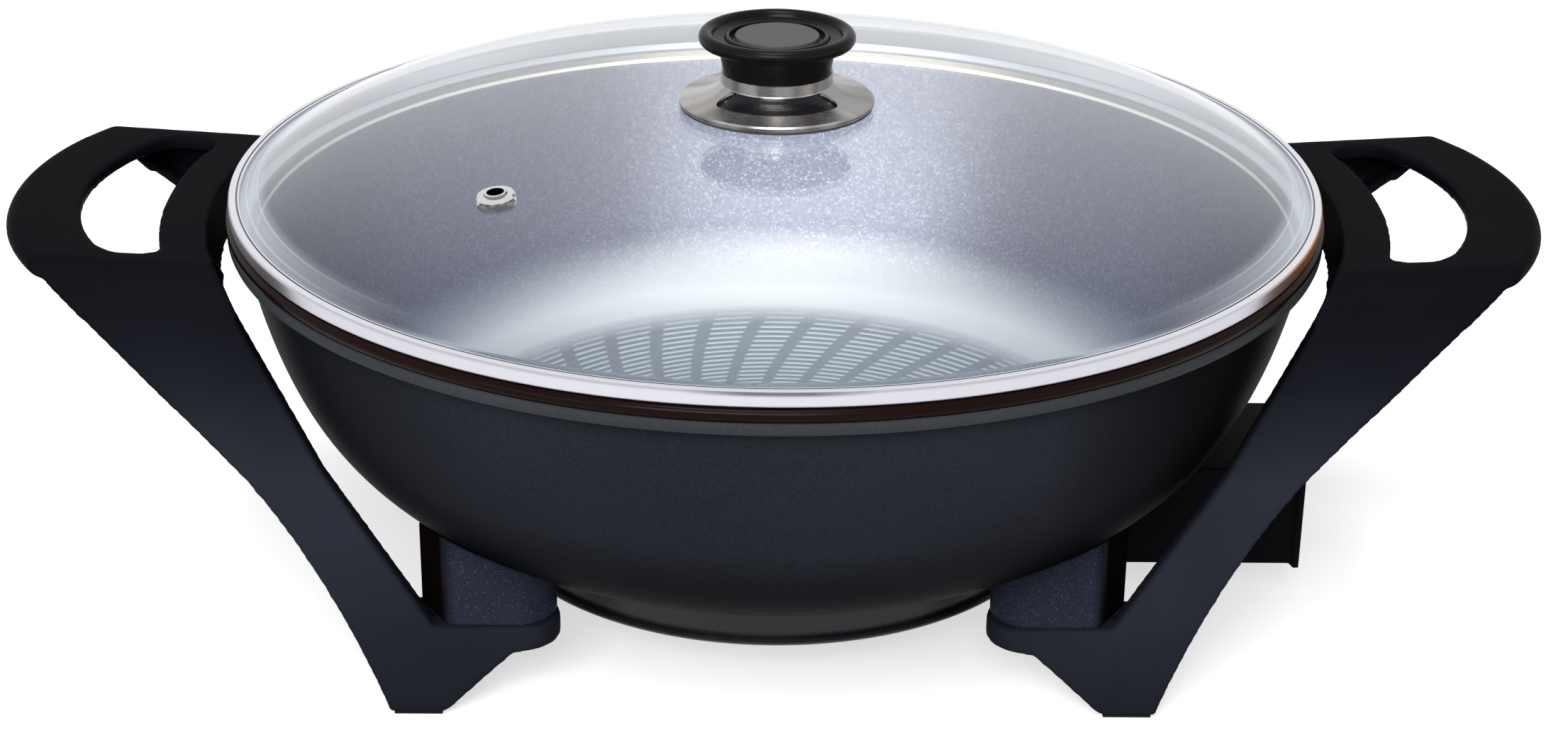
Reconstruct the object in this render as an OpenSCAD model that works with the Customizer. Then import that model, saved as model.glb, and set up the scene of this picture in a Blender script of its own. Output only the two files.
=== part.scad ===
// Electric wok: a cast pan on two one-piece handle-legs, with a lift-off glass lid.
// Millimetres. +Z is up, the front of the wok faces -Y and its probe socket faces +X.
// The origin lies on the table under the middle of the pan.

/* [Pan] */
// Outer radius of the bead round the pan's rim
rim_r = 196.5; // [192:0.5:202]
// Height of the pan's rim above the table
rim_z = 154; // [150:1:162]
// Height of the rim flange, bead included
rim_h = 9; // [8:0.5:11]
// How far the rim flange stands out from the wall
rim_out = 5.5; // [4.5:0.5:7]
// Height of the glossy bead on top of the flange
bead_h = 4.5; // [3.5:0.5:5.5]
// Radius of the pan's flat underside
pan_base_r = 104; // [98:1:110]
// Height of the flat underside above the table
pan_base_z = 37; // [36:1:42]
// Thickness of the cast wall
pan_wall = 5; // [4:0.5:6]

/* [Base cover] */
// Radius of the pressed cover under the pan
cover_r = 103; // [96:1:103.5]
// Height of the cover's lowest face above the table
cover_z = 22.7; // [20:0.1:25]
// How far the cover's foot flange stands out
cover_flange = 2.6; // [1:0.1:3]
// Sheet thickness of the cover
cover_t = 1.2; // [0.8:0.1:1.6]
// Distance of the cover's screws from the middle
cover_screw_r = 50; // [44:1:56]

/* [Heating element] */
// Radius of the element's ring
element_r = 72; // [66:1:78]
// Radius of the sheathed tube
element_tube_r = 4; // [3.2:0.1:4.2]
// Distance of each terminal from the socket's middle
terminal_y = 19; // [17:0.5:21]
// Radius of a terminal pin
pin_r = 2.4; // [2:0.1:2.6]
// Free length of a terminal pin
pin_l = 33; // [26:1:40]
// Radius of the bore that takes the thermostat's probe
probe_r = 3.3; // [2.8:0.1:3.5]
// Depth of the probe bore
probe_depth = 66; // [56:1:68]

/* [Probe socket] */
// How far the shroud reaches out from the middle of the pan
shroud_x = 196; // [190:1:200]
// Width of the shroud
shroud_w = 60; // [58:1:64]
// Lowest face of the shroud above the table
shroud_z = 16.5; // [14:0.5:18.5]
// Height of the shroud
shroud_h = 39; // [36:1:41]
// Wall thickness of the shroud
shroud_wall = 2.5; // [2:0.1:3]

/* [Handle-legs] */
// Height of the grip's top face above the table, at its outer edge
grip_z = 153; // [150:0.5:156]
// Rise of the grip's top face towards its outer edge, in degrees
grip_tilt = 3.4; // [2:0.1:4]
// How far a grip stands out from the pan's rim
grip_out = 78.5; // [72:0.5:86]
// Half the width of a grip where it turns down into the legs
grip_half_w = 73.5; // [70:0.5:78]
// Gap between the pan's rim bead and the grip's inner edge
grip_gap = 8; // [5:0.5:12]
// Gap between the pan's wall and a leg's inner edge
leg_gap = 8; // [5:0.5:12]
// Thickness of the moulded walls
panel_t = 5; // [4.5:0.5:7]
// Depth of the stiffening flange along a leg's outer edge
flange_d = 15; // [12:1:18]
// Depth of a leg's inner edge
inner_flange_d = 7; // [6:0.5:9]
// Sideways lean of a leg for each millimetre down
splay = 0.295; // [0.26:0.005:0.31]
// Outer edge of a foot, from the middle of the pan
foot_x = 132.5; // [128:0.5:136]
// Width of a foot seen from the front
foot_w = 19; // [18:0.5:22]
// Depth of a foot, front to back
foot_d = 20; // [18:0.5:22]
// Half the length of the finger hole
hole_half_w = 59; // [52:1:61]
// Width of the grip bar outside the finger hole
bar_w = 26; // [23:1:28]
// Width of the bridge between the finger hole and the pan
bridge_w = 15; // [12:1:16]

/* [Arms and spacers] */
// Top face of an arm above the table
arm_z = 30; // [28:0.5:31]
// Thickness of an arm
arm_t = 8.5; // [8:0.5:10]
// Nearest point of an arm's rounded end to the middle, along X
arm_x = 74.5; // [70:0.5:78]
// Radius of an arm's rounded end
arm_end_r = 14.7; // [13:0.1:15]
// How far a spacer's faces stand back from the arm's
spacer_back = 1.2; // [0.6:0.1:2]
// Radius of the bracket screws
bracket_screw_r = 2.5; // [2:0.1:3]
// Thickness of a rubber foot pad
pad_t = 3.2; // [2.5:0.1:4]
// How far a pad stands out under its foot
pad_out = 1; // [0.8:0.1:2]

/* [Lid] */
// How far the steel band's edge lies inside the rim bead's edge
band_in = 1.5; // [0.5:0.1:2.5]
// Thickness of the tempered glass
glass_t = 3.5; // [3:0.1:4.5]
// Height of the dome above the pan's rim
dome_h = 31; // [26:0.5:36]
// Sheet thickness of the steel band
band_t = 0.7; // [0.5:0.1:1]
// Thickness of the liner between glass and band
liner_t = 0.3; // [0.2:0.1:0.6]
// Distance of the steam vent from the middle
vent_r = 124; // [100:1:140]
// Direction of the steam vent, in degrees from +X
vent_angle = 221; // [180:0.5:270]
// Radius of the vent's hole
vent_hole_r = 2.8; // [2:0.1:3.2]

/* [Knob] */
// Radius of the knob's grip bead
knob_r = 28; // [26:0.5:31]
// Height of the knob's neck above its collar
neck_h = 9.8; // [8:0.2:13]
// Radius of the collar's brim
brim_r = 35; // [34:0.5:38]
// Height of the collar
collar_h = 12; // [11:0.5:14]
// Radius of the collar's neck
collar_neck_r = 20; // [19.6:0.1:20.4]
// Radius of the knob's insert disc
insert_r = 15; // [13:0.1:15.5]
// Radius of the knob's screw
knob_screw_r = 2.5; // [2:0.1:2.8]

/* [Hidden] */
$fn = 96;

// Clearances
seat_gap = 0.3;
slide_gap = 0.05;
screw_gap = 0.05;
fit_gap = 0.3;

// Colours
bakelite = [0.07, 0.08, 0.09];
coated = [0.13, 0.15, 0.17];
steel = [0.78, 0.79, 0.80];

// Pan: the outer wall is one curve from the flat underside up to the rim flange
neck_r = rim_r - rim_out;
neck_z = rim_z - rim_h;
wall_curve = [[pan_base_r, pan_base_z], [pan_base_r + 49, pan_base_z + 19],
    [neck_r - 13.5, pan_base_z + 36], [neck_r, neck_z]];
wall_steps = 20;
ledge_r = neck_r + 0.4;
ledge_z = rim_z - 5.6;
floor_z = curve_side(wall_curve, 1, pan_wall, false)[0][1];

// Heating element, pressed into a cast channel under the pan's floor
element_z = pan_base_z - element_tube_r - seat_gap;
channel_wall = 2;
element_bend_r = 12;
element_gap_angle = asin((terminal_y + element_bend_r) / (element_r + element_bend_r));
element_leg_x = (element_r + element_bend_r) * cos(element_gap_angle);
channel_notch_y = (element_r + element_tube_r) * sin(element_gap_angle) + 4;

// Probe socket
shroud_back_x = cover_r + cover_flange + 0.9;
shroud_back_t = 3;
terminal_x = shroud_back_x + shroud_back_t + 2.5;
bush_l = 5;
bush_r = 2 * pin_r;
pin_root_r = pin_r - 0.5;
pin_tip = 1;
probe_tube_wall = 1.2;
probe_tube_r = probe_r + probe_tube_wall;
probe_tube_z = pan_base_z - probe_tube_r - 0.1;
probe_tube_end = terminal_x + bush_l;
probe_plug = 4;
sensing_pad_l = 30;
sensing_pad_w = 14;
shroud_lip = 1.2;
shroud_lip_t = 2.7;
shroud_post_x = shroud_back_x + 15.5;
shroud_post_y = shroud_w / 2 - 4.5;
shroud_post_r = 3.2;
shroud_post_top = shroud_z + 22;
shroud_screw_r = 1.9;
shroud_screw_head = 2.2;
shroud_screw_up = 6;

// Base cover
cover_inner_z = cover_z + cover_t;
cover_foot_h = 2.3;
cover_post_r = 5;
cover_screw_shank_r = 1.6;
cover_screw_up = 8;
cover_screw_angles = [60, 180, 300];

// Handle-legs: the grip's outer edge is an arc about a point between pan and grip
grip_reach = rim_r + grip_out;
grip_arc_r = 132;
grip_arc_x = grip_reach - grip_arc_r;
grip_corner_r = 5;
grip_corner_x = grip_arc_x
    + sqrt(pow(grip_arc_r - grip_corner_r, 2) - pow(grip_half_w - grip_corner_r, 2));
grip_inner_r = rim_r + grip_gap;
grip_edge_w = 7.5;
grip_skirt_h = 7.5;
grip_skirt_in = 1.5;
skirt_t = 4;
curtain_h = 20;
curtain_slope = 0.3;
curtain_t = 3;
shoulder_w = 7;
shoulder_h = 16;
hole_outer_r = grip_arc_r - bar_w;
hole_inner_r = grip_inner_r + bridge_w;
hole_corner_r = 14;
hole_inner_corner_r = 6;
leg_top_x = grip_arc_x + sqrt(pow(grip_arc_r, 2) - pow(grip_half_w, 2)) + 4.5;
leg_knee = [leg_top_x - 68, grip_z - 66];
leg_lean = 1.03;
leg_inner_top = sqrt(pow(grip_inner_r, 2) - pow(grip_half_w, 2)) + 5;
foot_in_x = foot_x - foot_w;
crotch = [foot_in_x + 4, arm_z];
leg_inner_wall = curve_point(wall_curve, 0.6);
leg_inner_y = arch_half(foot_x, leg_inner_wall[1], inner_flange_d);
leg_inner_knee = [sqrt(pow(leg_inner_wall[0] + leg_gap, 2) - pow(leg_inner_y, 2)), leg_inner_wall[1]];
leg_strip = 5;

// Arms and spacers
arm_bottom = arm_z - arm_t;
arm_front = arch_half(arm_x + arm_end_r, arm_z, 0);
arm_mid_x = arm_x + arm_end_r;
arm_mid_y = arm_front + splay * arm_t - arm_end_r;
spacer_end_r = arm_end_r - spacer_back;
spacer_front = arm_front - spacer_back;
spacer_mid_y = spacer_front - spacer_end_r;
spacer_corner_x = foot_in_x - 1;
spacer_slant = 11;
spacer_post_r = 7;
spacer_post_z = arm_z + 11;
bracket_head_r = 2 * bracket_screw_r;
bracket_head_h = 3;
bracket_screw_up = 18;
pad_margin = 1.2;
foot_bottom = pad_out;

// Lid: everything is stacked up from the pan's rim
lid_z = rim_z + seat_gap;
band_r = rim_r - band_in;
band_lip = 4;
band_h = 2 * band_t + liner_t + glass_t;
hem_r = ledge_r - 0.8;
hem_h = 5.3;
glass_edge_r = band_r - band_t - liner_t;
glass_edge_z = lid_z + band_t + liner_t;
glass_edge_top = glass_edge_z + glass_t;
dome_z = rim_z + dome_h;
dome_edge_r = band_r - band_lip - 0.7;
dome_curve = [[0, dome_z], [0.54 * band_r, dome_z],
    [0.846 * band_r, glass_edge_top + 0.72 * (dome_z - glass_edge_top)], [dome_edge_r, glass_edge_top]];
dome_steps = 20;
glass_hole_r = 5;

// Vent: it stands square to the dome where it passes through
vent_t = curve_at(dome_curve, vent_r, 0, 1, 24);
vent_z = curve_point(dome_curve, vent_t)[1];
vent_tilt = atan2(-curve_slope(dome_curve, vent_t)[1], curve_slope(dome_curve, vent_t)[0]);
vent_flange_r = vent_hole_r + 3.85;
vent_tube_r = vent_hole_r + 0.8;
vent_flange_t = 0.9;
vent_bush_gap = 0.2;

// Knob: stacked up from the top of the dome
knob_z = dome_z + 0.7;
neck_z0 = knob_z + collar_h;
cap_z = neck_z0 + neck_h;
knob_bead_r = 2.6;
knob_bead_z = cap_z + 2.5;
neck_low_r = collar_neck_r - 0.2;
neck_top_r = knob_r - 6.1;
collar_t = 0.8;
stem_r = collar_neck_r - collar_t - fit_gap;
spigot_r = 12;
spigot_h = 6;
window_r = brim_r - 8.2;
window_top = collar_h - 4.2;
window_angle = 100;
window_end_r = (window_r - collar_neck_r) / 2;
stem_foot_r = window_r - 0.3;
stem_foot_gap = 0.4;
brim_edge_h = 1.5;
knob_insert_r = knob_screw_r + 1.6;
knob_insert_h = 6;
disc_t = 2.2;
disc_top = cap_z + 3.3;
groove_w = 1.9;
step_w = 1.6;
washer_t = 0.8;
plate_washer_t = 1.2;
knob_head_r = 2 * knob_screw_r;
knob_head_h = 3;
glass_under = dome_z - glass_t - 0.1;

// Points, directions and offsets of a cubic curve given by four points
function curve_point(c, t) = pow(1 - t, 3) * c[0] + 3 * pow(1 - t, 2) * t * c[1]
    + 3 * (1 - t) * t * t * c[2] + pow(t, 3) * c[3];
function curve_slope(c, t) = 3 * pow(1 - t, 2) * (c[1] - c[0]) + 6 * (1 - t) * t * (c[2] - c[1])
    + 3 * t * t * (c[3] - c[2]);
function curve(c, n) = [for (i = [0:n]) curve_point(c, i / n)];
function left_of(d) = [-d[1], d[0]] / norm(d);
function curve_side(c, n, d, right) = [for (i = [0:n])
    curve_point(c, i / n) + (right ? -d : d) * left_of(curve_slope(c, i / n))];
function curve_at(c, x, lo, hi, n) = n == 0 ? (lo + hi) / 2
    : curve_point(c, (lo + hi) / 2)[0] < x ? curve_at(c, x, (lo + hi) / 2, hi, n - 1)
    : curve_at(c, x, lo, (lo + hi) / 2, n - 1);
function reversed(p) = [for (i = [len(p) - 1:-1:0]) p[i]];
function shifted(p, d) = [for (q = p) q + d];

// Points on an arc about c
function arc(c, r, a0, a1, n) = [for (i = [0:n]) let (a = a0 + (a1 - a0) * i / n) c + r * [cos(a), sin(a)]];

// Height of the handle-leg's arch at distance x, and half its width there at height z, drawn in by d
function arch_top(x) = grip_z - (grip_reach - x) * tan(grip_tilt);
function arch_half(x, z, d) = grip_half_w + splay * (arch_top(x) - z) - d * sqrt(1 + splay * splay);

// A solid of revolution through a closed outline
module lathe(points) rotate_extrude() polygon(points);

// A part and its mirror image on the other side of the XZ plane
module front_and_rear() {
    children();
    mirror([0, 1, 0]) children();
}

// A rod along +X
module rod_x(x, y, z, r, l) translate([x, y, z]) rotate([0, 90, 0]) cylinder(r = r, h = l);

// The space that the bowl fills, grown outwards by d
module bowl_space(d) {
    lathe(concat([[0, neck_z], [0, pan_base_z - d], [pan_base_r, pan_base_z - d]],
        curve_side(wall_curve, wall_steps, d, true), [[neck_r - 1, neck_z]]));
}

// A post from height z up into the bowl's wall
module bowl_post(x, y, z, r) {
    difference() {
        translate([x, y, z]) cylinder(r = r, h = rim_z - rim_h - z);
        bowl_space(-pan_wall / 2);
    }
}

module pan_shell() {
    bead_r = bead_h / 2;
    bead_mid = [rim_r - bead_r, rim_z - bead_r];
    lathe(concat(
        [[0, pan_base_z]],
        curve(wall_curve, wall_steps),
        [[rim_r - 1.3, neck_z], [rim_r - 0.5, neck_z + 0.8]],
        [[rim_r - 0.5, rim_z - bead_h - 0.4], [rim_r - 1.1, rim_z - bead_h]],
        arc(bead_mid, bead_r, -60, 90, 10),
        [[ledge_r + 1.4, rim_z], [ledge_r + 0.3, rim_z - 0.8], [ledge_r, ledge_z]],
        reversed(curve_side(wall_curve, wall_steps, pan_wall, false)),
        [[0, floor_z]]));
}

module element_channel() {
    channel_in = element_r - element_tube_r - channel_wall;
    channel_out = element_r + element_tube_r + channel_wall;
    difference() {
        translate([0, 0, element_z]) cylinder(r = channel_out, h = pan_base_z - element_z + 1);
        translate([0, 0, element_z - 1]) cylinder(r = channel_in, h = pan_base_z - element_z + 3);
        rotate_extrude() translate([element_r, element_z]) circle(r = element_tube_r + slide_gap, $fn = 32);
        translate([element_r / 2, -channel_notch_y, element_z - 1])
            cube([element_r, 2 * channel_notch_y, pan_base_z - element_z + 1]);
    }
}

module pan() color(coated) {
    difference() {
        union() {
            pan_shell();
            element_channel();
            for (a = cover_screw_angles)
                rotate(a) translate([cover_screw_r, 0, cover_inner_z + seat_gap])
                    cylinder(r = cover_post_r, h = pan_base_z - cover_inner_z);
            for (sx = [-1, 1], sy = [-1, 1])
                bowl_post(sx * arm_mid_x, sy * spacer_mid_y, spacer_post_z, spacer_post_r);
            for (sy = [-1, 1])
                bowl_post(shroud_post_x, sy * shroud_post_y, shroud_post_top + fit_gap, shroud_post_r);
        }
        for (a = cover_screw_angles)
            rotate(a) translate([cover_screw_r, 0, cover_z])
                cylinder(r = cover_screw_shank_r + screw_gap, h = cover_screw_up + cover_t);
        for (sx = [-1, 1], sy = [-1, 1])
            translate([sx * arm_mid_x, sy * spacer_mid_y, arm_z])
                cylinder(r = bracket_screw_r + screw_gap, h = bracket_screw_up);
        for (sy = [-1, 1])
            translate([shroud_post_x, sy * shroud_post_y, shroud_z])
                cylinder(r = shroud_screw_r + screw_gap, h = shroud_post_top - shroud_z + shroud_screw_up + 1);
    }
}

module base_cover() color(coated) {
    foot_r = cover_r + cover_flange;
    difference() {
        lathe([[0, cover_z], [foot_r - 0.8, cover_z], [foot_r, cover_z + 0.8],
            [foot_r, cover_z + cover_foot_h - 0.8], [foot_r - 0.8, cover_z + cover_foot_h],
            [cover_r, cover_z + cover_foot_h], [cover_r, pan_base_z - seat_gap],
            [cover_r - cover_t, pan_base_z - seat_gap], [cover_r - cover_t, cover_inner_z],
            [0, cover_inner_z]]);
        for (a = cover_screw_angles)
            rotate(a) translate([cover_screw_r, 0, cover_z - 1])
                cylinder(r = cover_screw_shank_r + 0.3, h = cover_t + 2);
        for (sy = [-1, 1])
            rod_x(cover_r / 2, sy * terminal_y, element_z, element_tube_r + 0.6, cover_r);
        rod_x(cover_r / 2, 0, probe_tube_z, probe_tube_r + 0.6, cover_r);
    }
}

module base_cover_screws() color(steel) {
    head_h = 2;
    for (a = cover_screw_angles)
        rotate(a) translate([cover_screw_r, 0, cover_z - head_h]) {
            difference() {
                cylinder(r = 2 * cover_screw_shank_r, h = head_h);
                translate([0, 0, -1]) cylinder(r = cover_screw_shank_r, h = 2, $fn = 6);
            }
            cylinder(r = cover_screw_shank_r, h = head_h + cover_screw_up);
        }
}

module element_end() {
    rod_x(element_leg_x, -terminal_y, element_z, element_tube_r, terminal_x - element_leg_x);
    translate([element_leg_x, -(element_r + element_bend_r) * sin(element_gap_angle), element_z])
        rotate(90)
            rotate_extrude(angle = 90 - element_gap_angle)
                translate([element_bend_r, 0]) circle(r = element_tube_r, $fn = 32);
}

module heating_element() color(steel) {
    rotate([0, 0, element_gap_angle])
        rotate_extrude(angle = 360 - 2 * element_gap_angle)
            translate([element_r, 0]) translate([0, element_z]) circle(r = element_tube_r, $fn = 32);
    front_and_rear() element_end();
}

module probe_tube() color(steel) {
    blind_x = probe_tube_end - probe_depth;
    difference() {
        union() {
            rod_x(blind_x - probe_plug, 0, probe_tube_z, probe_tube_r, probe_depth + probe_plug);
            translate([blind_x - probe_plug, -sensing_pad_w / 2, probe_tube_z])
                cube([sensing_pad_l, sensing_pad_w, pan_base_z - probe_tube_z]);
        }
        rod_x(blind_x, 0, probe_tube_z, probe_r, probe_depth + 1);
    }
}

module terminal_pin(sy) color(steel) {
    free_x = terminal_x + bush_l + seat_gap;
    y = sy * terminal_y;
    rod_x(terminal_x, y, element_z, pin_root_r, free_x - terminal_x + 1);
    rod_x(free_x, y, element_z, pin_r, pin_l - pin_tip);
    translate([free_x + pin_l - pin_tip, y, element_z])
        rotate([0, 90, 0]) cylinder(r1 = pin_r, r2 = pin_r - 0.8, h = pin_tip);
}

module terminal_bush(sy) color("white") {
    difference() {
        rod_x(terminal_x, sy * terminal_y, element_z, bush_r, bush_l);
        rod_x(terminal_x - 1, sy * terminal_y, element_z, pin_root_r + slide_gap, bush_l + 2);
    }
}

module shroud_box(grow, x0, x1) {
    translate([x0, -shroud_w / 2 - grow, shroud_z - grow])
        cube([x1 - x0, shroud_w + 2 * grow, shroud_h + 2 * grow]);
}

module probe_shroud() color(bakelite) {
    mouth_x = shroud_back_x + shroud_back_t;
    difference() {
        union() {
            difference() {
                union() {
                    shroud_box(0, shroud_back_x, shroud_x);
                    shroud_box(shroud_lip, shroud_x - shroud_lip_t, shroud_x);
                }
                shroud_box(-shroud_wall, mouth_x, shroud_x + 1);
            }
            for (sy = [-1, 1])
                translate([shroud_post_x, sy * shroud_post_y, shroud_z])
                    cylinder(r = shroud_post_r, h = shroud_post_top - shroud_z);
        }
        bowl_space(fit_gap);
        for (sy = [-1, 1]) {
            rod_x(shroud_back_x - 1, sy * terminal_y, element_z, element_tube_r + 0.3, shroud_back_t + 2);
            translate([shroud_post_x, sy * shroud_post_y, shroud_z - 1])
                cylinder(r = shroud_screw_r + screw_gap, h = shroud_h);
            translate([shroud_post_x, sy * shroud_post_y, shroud_post_top])
                cylinder(r = shroud_post_r + fit_gap, h = shroud_h);
        }
        rod_x(shroud_back_x - 1, 0, probe_tube_z, probe_tube_r + 0.3, shroud_back_t + 2);
    }
}

module shroud_screws() color(steel) {
    for (sy = [-1, 1])
        translate([shroud_post_x, sy * shroud_post_y, shroud_z - shroud_screw_head]) {
            difference() {
                cylinder(r = 2 * shroud_screw_r, h = shroud_screw_head);
                translate([0, 0, -1]) cylinder(r = shroud_screw_r, h = shroud_screw_head, $fn = 6);
            }
            cylinder(r = shroud_screw_r, h = shroud_screw_head + shroud_post_top - shroud_z + shroud_screw_up);
        }
}

// Plan of a spacer at the left front, rounded towards the middle of the pan
module spacer_plan() {
    polygon(concat(arc([-arm_mid_x, -spacer_mid_y], spacer_end_r, -90, 90, 16),
        [[-spacer_corner_x - spacer_slant + 2, spacer_end_r - spacer_mid_y],
            [-spacer_corner_x - spacer_slant, -spacer_front + 18], [-spacer_corner_x, -spacer_front]]));
}

module spacer() color([0.13, 0.10, 0.13]) {
    difference() {
        translate([0, 0, arm_z]) linear_extrude(rim_z - rim_h - arm_z) spacer_plan();
        bowl_space(fit_gap);
        translate([-arm_mid_x, -spacer_mid_y, spacer_post_z - fit_gap])
            cylinder(r = spacer_post_r + fit_gap, h = rim_z);
        translate([-arm_mid_x, -spacer_mid_y, arm_z - 1])
            cylinder(r = bracket_screw_r + screw_gap, h = rim_z);
    }
}

// Places a left-front part at one of the four corners
module at_corner(right, rear) {
    mirror([right, 0, 0]) mirror([0, rear, 0]) children();
}

// The rounded shoulder at the corner c between the side that comes up from p and the top towards q
function shoulder(p, c, q, d) = let (
        u = (p - c) / (c[1] - p[1]) * max(shoulder_h - d, 1),
        v = (q - c) / norm(q - c) * max(shoulder_w - d, 1))
    curve([c + u, c + 0.4 * u, c + 0.3 * v, c + v], 7);

// The arch that grip and legs follow, drawn in by d: it runs along X and rises outwards
module arch(d) {
    low = -grip_z - 30;
    half = arch_half(grip_reach, grip_z, d);
    foot = half + splay * -low - splay * d;
    left_top = [-half - splay * d, -d];
    right_top = [half + splay * d, -d];
    left_low = [-foot, low];
    right_low = [foot, low];
    translate([-grip_reach, 0, grip_z]) rotate([0, grip_tilt, 0]) rotate([90, 0, 90])
        translate([0, 0, -20]) linear_extrude(grip_reach - 30)
            polygon(concat([left_low], shoulder(left_low, left_top, right_top, d),
                reversed(shoulder(right_low, right_top, left_top, d)), [right_low]));
}

module arch_wall(d) {
    difference() {
        arch(0);
        arch(d);
    }
}

// The same wall without the part over the finger hole
module leg_wall(d) {
    difference() {
        arch_wall(d);
        translate([-grip_reach - 25, -hole_half_w, -1])
            cube([grip_reach, 2 * hole_half_w, 2 * grip_z]);
    }
}

function leg_edge_at(z) = [-leg_knee[0] - leg_lean * (z - leg_knee[1]), z];
function leg_outer_edge() = concat(
    curve([[4 - grip_corner_x, grip_z + 2], [-grip_corner_x - 3, grip_z + 1.5], leg_edge_at(grip_z - 2.5),
        leg_edge_at(grip_z - 10)], 7),
    curve([[-leg_knee[0], leg_knee[1]], [-leg_knee[0] + 23, leg_knee[1] - 21],
        [-foot_x - 10.5, 26], [-foot_x, foot_bottom]], 8));
function leg_inner_edge() = [[-leg_inner_top - 1.2, grip_z + 2], -[leg_inner_knee[0], -leg_inner_knee[1]],
    [-crotch[0], crotch[1]]];
function foot_edge() = [[-foot_in_x, foot_bottom], [-foot_in_x + 24, arm_bottom], [-arm_mid_x, arm_bottom],
    [-arm_mid_x, arm_z]];

// A solid whose outline is drawn in the XZ plane, seen from the front
module front_outline(points) {
    depth = 2 * arch_half(grip_reach, 0, 0) + 10;
    translate([0, depth / 2, 0]) rotate([90, 0, 0]) linear_extrude(depth) polygon(points);
}

module leg_panels() {
    outline = concat(leg_outer_edge(), foot_edge(), reversed(leg_inner_edge()));
    intersection() {
        leg_wall(panel_t);
        front_outline(outline);
    }
    intersection() {
        leg_wall(flange_d);
        front_outline(concat(leg_outer_edge(), reversed(shifted(leg_outer_edge(), [leg_strip, 0]))));
    }
    intersection() {
        leg_wall(inner_flange_d);
        front_outline(concat(leg_inner_edge(), reversed(shifted(leg_inner_edge(), [-leg_strip, 0]))));
    }
    intersection() {
        leg_wall(foot_d);
        front_outline(outline);
        translate([-grip_reach, -grip_reach, foot_bottom])
            cube([grip_reach, 2 * grip_reach, arm_z - foot_bottom]);
    }
}

module grip_plan() {
    mid_y = grip_half_w - grip_corner_r;
    mid_x = -grip_corner_x;
    turn = asin(mid_y / (grip_arc_r - grip_corner_r));
    difference() {
        polygon(concat(arc([mid_x, mid_y], grip_corner_r, 90, 180 - turn, 6),
            arc([-grip_arc_x, 0], grip_arc_r, 180 - turn, 180 + turn, 18),
            arc([mid_x, -mid_y], grip_corner_r, 180 + turn, 270, 6),
            [[-leg_inner_top + 25, -grip_half_w], [-leg_inner_top + 25, grip_half_w]]));
        circle(r = grip_inner_r, $fn = 180);
    }
}

module finger_hole_plan() {
    mid_y = hole_half_w - hole_corner_r;
    mid_x = -grip_arc_x - sqrt(pow(hole_outer_r - hole_corner_r, 2) - mid_y * mid_y);
    turn = asin(mid_y / (hole_outer_r - hole_corner_r));
    in_y = hole_half_w - hole_inner_corner_r;
    in_r = hole_inner_r + hole_inner_corner_r;
    in_x = -sqrt(in_r * in_r - in_y * in_y);
    in_turn = asin(in_y / in_r);
    polygon(concat(arc([in_x, in_y], hole_inner_corner_r, -in_turn, 90, 5),
        arc([mid_x, mid_y], hole_corner_r, 90, 180 - turn, 6),
        arc([-grip_arc_x, 0], hole_outer_r, 180 - turn, 180 + turn, 14),
        arc([mid_x, -mid_y], hole_corner_r, 180 + turn, 270, 6),
        arc([in_x, -in_y], hole_inner_corner_r, 270, 360 + in_turn, 5),
        arc([0, 0], hole_inner_r, 180 + in_turn, 180 - in_turn, 14)));
}

// The outer wall of the grip, rounded off towards the top and grown inwards by t
module grip_skirt(t) {
    r = grip_arc_r;
    low_r = r - grip_skirt_in;
    top_r = r - grip_edge_w;
    low = -grip_skirt_h - 1;
    translate([-grip_arc_x, 0, grip_z + 1])
        lathe(concat(curve([[top_r, 0], [r - 2, -1], [r, -4], [r, 1 - grip_skirt_h]], 6),
            [[low_r, low], [low_r - t, low], [top_r - t, 0]]));
}

module grip() {
    inner = grip_inner_r;
    curtain_r = inner - curtain_slope * curtain_h;
    difference() {
        intersection() {
            arch(0);
            union() {
                intersection() {
                    arch_wall(panel_t);
                    translate([0, 0, grip_z - 40]) linear_extrude(50) grip_plan();
                    grip_skirt(grip_arc_r - grip_edge_w);
                }
                intersection() {
                    grip_skirt(skirt_t);
                    translate([-grip_reach - 5, -grip_reach, 0])
                        cube([grip_reach - grip_arc_x, 2 * grip_reach, 2 * grip_z]);
                }
                intersection() {
                    lathe([[inner, grip_z + 1], [inner + curtain_t, grip_z + 1],
                        [curtain_r + curtain_t, grip_z - curtain_h], [curtain_r, grip_z - curtain_h]]);
                    translate([-grip_reach, -grip_reach, 0])
                        cube([grip_reach - 100, 2 * grip_reach, 2 * grip_z]);
                }
            }
        }
        translate([0, 0, grip_z - 3 * panel_t]) linear_extrude(4 * panel_t) finger_hole_plan();
    }
}

module arm() {
    root_x = -foot_in_x - 4;
    intersection() {
        arch(0);
        translate([0, 0, arm_bottom]) linear_extrude(arm_t)
            polygon(concat(arc([-arm_mid_x, -arm_mid_y], arm_end_r, -90, 90, 24),
                [[root_x, arm_end_r - arm_mid_y], [root_x, -arm_mid_y - arm_end_r]]));
    }
}

module handle_leg() color(bakelite) {
    difference() {
        union() {
            grip();
            leg_panels();
            front_and_rear() arm();
        }
        front_and_rear() {
            translate([-arm_mid_x, -spacer_mid_y, arm_bottom - 1])
                cylinder(r = bracket_screw_r + screw_gap, h = arm_t + 2);
            translate([-arm_mid_x, -spacer_mid_y, arm_bottom - 1])
                cylinder(r = bracket_head_r + 0.5, h = bracket_head_h + 1.5);
            pad_block(fit_gap / 2, pad_t);
        }
    }
}

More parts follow.
